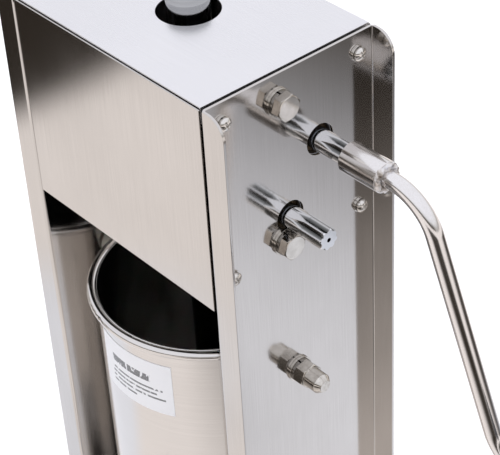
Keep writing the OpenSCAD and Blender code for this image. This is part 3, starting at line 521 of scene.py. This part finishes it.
def crank_rod():
    """One round bar: neck, bend, long arm, counter bend and spindle."""
    shape = bmesh.new()
    bmesh.ops.create_circle(shape, segments=40, radius=ROD_RADIUS * MM,
                            matrix=turned_ring((ROD_START * MM, 0, 0), "Y"))
    rim = shape.edges[:]
    bmesh.ops.edgeloop_fill(shape, edges=rim)

    def carry(edges, move):
        """Draws the bar's open end on by a straight length."""
        made = bmesh.ops.extrude_edge_only(shape, edges=edges)["geom"]
        ends = [part for part in made if isinstance(part, bmesh.types.BMVert)]
        bmesh.ops.translate(shape, verts=ends, vec=move)
        return [part for part in made if isinstance(part, bmesh.types.BMEdge)
                and all(end in ends for end in part.verts)]

    def bend(edges, centre, turn):
        """Bends the bar's open end round a centre."""
        made = bmesh.ops.spin(shape, geom=edges, cent=centre, axis=(0, 1, 0), angle=turn,
                              steps=18, use_merge=False, use_normal_flip=False,
                              use_duplicate=False)["geom_last"]
        return [part for part in made if isinstance(part, bmesh.types.BMEdge)]

    turn = radians(ROD_BEND_DEGREES)
    open_end = carry(rim, Vector((ROD_NECK * MM, 0, 0)))
    open_end = bend(open_end, Vector((ROD_START + ROD_NECK, 0, -ROD_BEND)) * MM, turn)
    heading = Vector((cos(turn), 0, -sin(turn)))
    open_end = carry(open_end, heading * ROD_ARM * MM)
    middle = sum((end.co for edge in open_end for end in edge.verts), Vector())
    middle /= 2 * len(open_end)
    open_end = bend(open_end, middle + Vector((sin(turn), 0, cos(turn))) * ROD_BEND * MM, -turn)
    open_end = carry(open_end, Vector((ROD_SPINDLE * MM, 0, 0)))
    bmesh.ops.edgeloop_fill(shape, edges=open_end)
    bmesh.ops.remove_doubles(shape, verts=shape.verts, dist=SAME_POINT)
    bmesh.ops.transform(shape, matrix=crank_axes(), verts=shape.verts)
    bmesh.ops.recalc_face_normals(shape, faces=shape.faces)
    return finish_shape("crank_rod", shape, "crank_arm", 0)


def weld_bead():
    """Hand-laid weld: a ring of uneven ripples round the rod."""
    shape = bmesh.new()
    bmesh.ops.create_circle(shape, segments=20, radius=WELD_BEAD * MM,
                            matrix=turned_ring((WELD_PLACE * MM, 0, WELD_RING * MM), "X"))
    bmesh.ops.spin(shape, geom=shape.edges[:], cent=(0, 0, 0), axis=(1, 0, 0), angle=2 * pi,
                   steps=120, use_merge=True, use_normal_flip=False, use_duplicate=False)
    bmesh.ops.remove_doubles(shape, verts=shape.verts, dist=SAME_POINT)
    bmesh.ops.recalc_face_normals(shape, faces=shape.faces)
    for vert in shape.verts:
        arm = Vector((0, vert.co.y, vert.co.z)).normalized()
        core = arm * WELD_RING * MM + Vector((WELD_PLACE * MM, 0, 0))
        ripple = 1.0 + 0.55 * noise.noise(vert.co * 230) + 0.22 * noise.noise(vert.co * 800)
        vert.co = core + (vert.co - core) * ripple
    bmesh.ops.transform(shape, matrix=crank_axes(), verts=shape.verts)
    return finish_shape("weld_bead", shape, "crank_weld", 0, finish=WELD)


crank_rod()
weld_bead()


# ---------------------------------------------------------------- studio

def flat_material(name, colour, roughness):
    """Backdrop paint with a faint mottle."""
    material, tree, shader, coords = new_material(name, colour, roughness)
    mottle = add_noise(tree, coords, (5.0, 5.0, 5.0), 3.0)
    darker = tuple(part * 0.985 for part in colour)
    tone = add_ramp(tree, mottle, [(0.3, darker), (0.7, colour)])
    tree.links.new(tone, shader.inputs["Base Color"])
    return material


def glowing_material(name):
    """A material that only glows, with its tree and the colour's socket."""
    material = bpy.data.materials.new(name)
    material.use_nodes = True
    tree = material.node_tree
    tree.nodes.clear()
    glow = tree.nodes.new("ShaderNodeEmission")
    output = tree.nodes.new("ShaderNodeOutputMaterial")
    tree.links.new(glow.outputs["Emission"], output.inputs["Surface"])
    return material, tree, glow.inputs["Color"]


def staged_plane(name, size, place, finish):
    """A flat staged sheet, lying level."""
    shape = bmesh.new()
    bmesh.ops.create_grid(shape, x_segments=1, y_segments=1, size=0.5)
    bmesh.ops.scale(shape, vec=(size[0], size[1], 1), verts=shape.verts)
    bmesh.ops.translate(shape, vec=place, verts=shape.verts)
    mesh = bpy.data.meshes.new(name)
    shape.to_mesh(mesh)
    shape.free()
    mesh.materials.append(finish)
    plane = bpy.data.objects.new(name, mesh)
    bpy.context.scene.collection.objects.link(plane)
    return plane


def soft_light(name, place, aim, size, power, colour):
    """A square softbox aimed at a point."""
    lamp = bpy.data.lights.new(name, "AREA")
    lamp.shape = "RECTANGLE"
    lamp.size, lamp.size_y = size
    lamp.energy = power
    lamp.color = colour
    light = bpy.data.objects.new(name, lamp)
    light.visible_glossy = False
    light.location = place
    light.rotation_euler = (Vector(aim) - Vector(place)).to_track_quat("-Z", "Y").to_euler()
    bpy.context.scene.collection.objects.link(light)
    return light


def painted_reflection_board(name, size, height, warm, cool, dark, patches, shades):
    """A glowing board under the machine that only polished metal sees: a painted reflection of a
    white sheet on a dark table.
    """
    material, tree, colour = glowing_material(name)
    coords = tree.nodes.new("ShaderNodeTexCoord").outputs["Object"]

    def beyond(x, y, inner, outer, low):
        """Rises softly from low to one between two distances from a point."""
        away = tree.nodes.new("ShaderNodeVectorMath")
        away.operation = "DISTANCE"
        tree.links.new(coords, away.inputs[0])
        away.inputs[1].default_value = (x, y, height)
        step = add_range(tree, away.outputs["Value"], inner, outer, low, 1.0)
        step.node.interpolation_type = "SMOOTHSTEP"
        return step

    light = None
    for x, y, inner, outer, depth in shades:
        part = beyond(x, y, inner, outer, 1.0 - depth)
        light = part if light is None else add_maths(tree, "MULTIPLY", light, part)
    tint = None
    for x, y, inner, outer in patches:
        part = beyond(x, y, inner, outer, 0.0)
        tint = part if tint is None else add_maths(tree, "MULTIPLY", tint, part)
    white = add_ramp(tree, tint, [(0.0, cool), (1.0, warm)])
    blend = tree.nodes.new("ShaderNodeMix")
    blend.data_type = "RGBA"
    tree.links.new(light, blend.inputs["Factor"])
    blend.inputs["A"].default_value = (*dark, 1.0)
    tree.links.new(white, blend.inputs["B"])
    tree.links.new(blend.outputs["Result"], colour)
    board = staged_plane(name, (size, size), (0, 0, height), material)
    board.visible_camera = False
    board.visible_diffuse = False
    board.visible_transmission = False
    board.visible_shadow = False
    return board


def studio_wall(radius, height):
    """A round pale wall far behind everything, which only the camera sees."""
    shape = bmesh.new()
    bmesh.ops.create_circle(shape, segments=96, radius=radius)
    made = bmesh.ops.extrude_edge_only(shape, edges=shape.edges[:])["geom"]
    top = [part for part in made if isinstance(part, bmesh.types.BMVert)]
    bmesh.ops.translate(shape, verts=top, vec=(0, 0, height))
    bmesh.ops.translate(shape, verts=shape.verts, vec=(0, 0, -0.5))
    mesh = bpy.data.meshes.new("studio_wall")
    shape.to_mesh(mesh)
    shape.free()
    glow, tree, colour = glowing_material("wall_glow")
    colour.default_value = (0.95, 0.95, 0.96, 1.0)
    mesh.materials.append(glow)
    wall = bpy.data.objects.new("studio_wall", mesh)
    bpy.context.scene.collection.objects.link(wall)
    wall.visible_diffuse = False
    wall.visible_glossy = False
    wall.visible_transmission = False
    wall.visible_shadow = False


def studio_sky():
    """Soft light all round: a dark horizon in front, a paler one behind, white overhead."""
    world = bpy.data.worlds.new("studio")
    world.use_nodes = True
    sky = world.node_tree
    axes = add_axes(sky, sky.nodes.new("ShaderNodeTexCoord").outputs["Generated"])
    behind = add_ramp(sky, axes["Z"], [(0.0, (0.46, 0.43, 0.41)), (0.08, (0.56, 0.54, 0.52)),
                                       (0.22, (0.90, 0.89, 0.90)), (0.42, (1.02, 1.02, 1.08))])
    before = add_ramp(sky, axes["Z"], [(0.0, (0.09, 0.075, 0.06)), (0.11, (0.13, 0.11, 0.095)),
                                       (0.24, (0.86, 0.86, 0.88)), (0.42, (1.02, 1.02, 1.08))])
    facing = sky.nodes.new("ShaderNodeMix")
    facing.data_type = "RGBA"
    turned = add_range(sky, axes["Y"], -0.35, 0.10, 0.0, 1.0)
    sky.links.new(turned, facing.inputs["Factor"])
    sky.links.new(before, facing.inputs["A"])
    sky.links.new(behind, facing.inputs["B"])
    background = sky.nodes["Background"]
    sky.links.new(facing.outputs["Result"], background.inputs["Color"])
    background.inputs["Strength"].default_value = 1.0
    bpy.context.scene.world = world
    bpy.context.scene.view_settings.view_transform = "Standard"


ROOM = 60                   # metres across
PAINTED_COOL_REFLECTIONS = [            # X, Y, inner and outer radius, in metres, of cool tints in the painted reflection
    (0.55, 0.45, 0.30, 0.62), (-0.40, -0.22, 0.12, 0.26),
]
PAINTED_DARK_REFLECTIONS = [             # X, Y, inner and outer radius, and how dark in the middle, of dark patches in the painted reflection
    (-1.62, -0.60, 0.73, 0.83, 1.0), (1.00, 1.30, 0.40, 1.20, 0.97),
    (0.98, -0.40, 0.12, 0.86, 0.97), (1.45, -1.15, 0.75, 1.25, 0.95),
    (-0.50, 0.55, 0.15, 0.45, 0.8), (0.61, -0.03, 0.10, 0.34, 0.85),
]
staged_plane("studio_floor", (ROOM, ROOM), (0, 0, 0),
             flat_material("floor_paint", (0.93, 0.93, 0.93), 0.85))
# A glowing board, no lamp, that paints reflections onto the polished metal.
painted_reflection_board("painted_reflection_board", ROOM, 0.002, (1.03, 0.96, 0.93), (0.99, 1.0, 1.07),
                (0.035, 0.028, 0.022), PAINTED_COOL_REFLECTIONS, PAINTED_DARK_REFLECTIONS)
studio_wall(28, 24)
studio_sky()
DAYLIGHT = (0.97, 0.98, 1.0)
MACHINE_MIDDLE = (0, 0, 0.4)
soft_light("key_softbox", (-1.7, 1.2, 2.2), MACHINE_MIDDLE, (1.6, 1.6), 26, DAYLIGHT)
soft_light("fill_softbox", (1.6, 1.5, 2.4), MACHINE_MIDDLE, (1.0, 1.0), 10, DAYLIGHT)

CAMERA_ROLL = -3.5          # degrees

camera = bpy.data.objects.new("camera", bpy.data.cameras.new("camera"))
camera.data.lens = 122.7
camera.data.sensor_width = 36
camera.location = (0.780, -0.591, 1.199)
sight = Vector((0.160, -0.089, 0.596)) - camera.location
camera.rotation_euler = (sight.to_track_quat("-Z", "Y")
                         @ Quaternion((0, 0, 1), radians(CAMERA_ROLL))).to_euler()
bpy.context.scene.collection.objects.link(camera)
bpy.context.scene.camera = camera
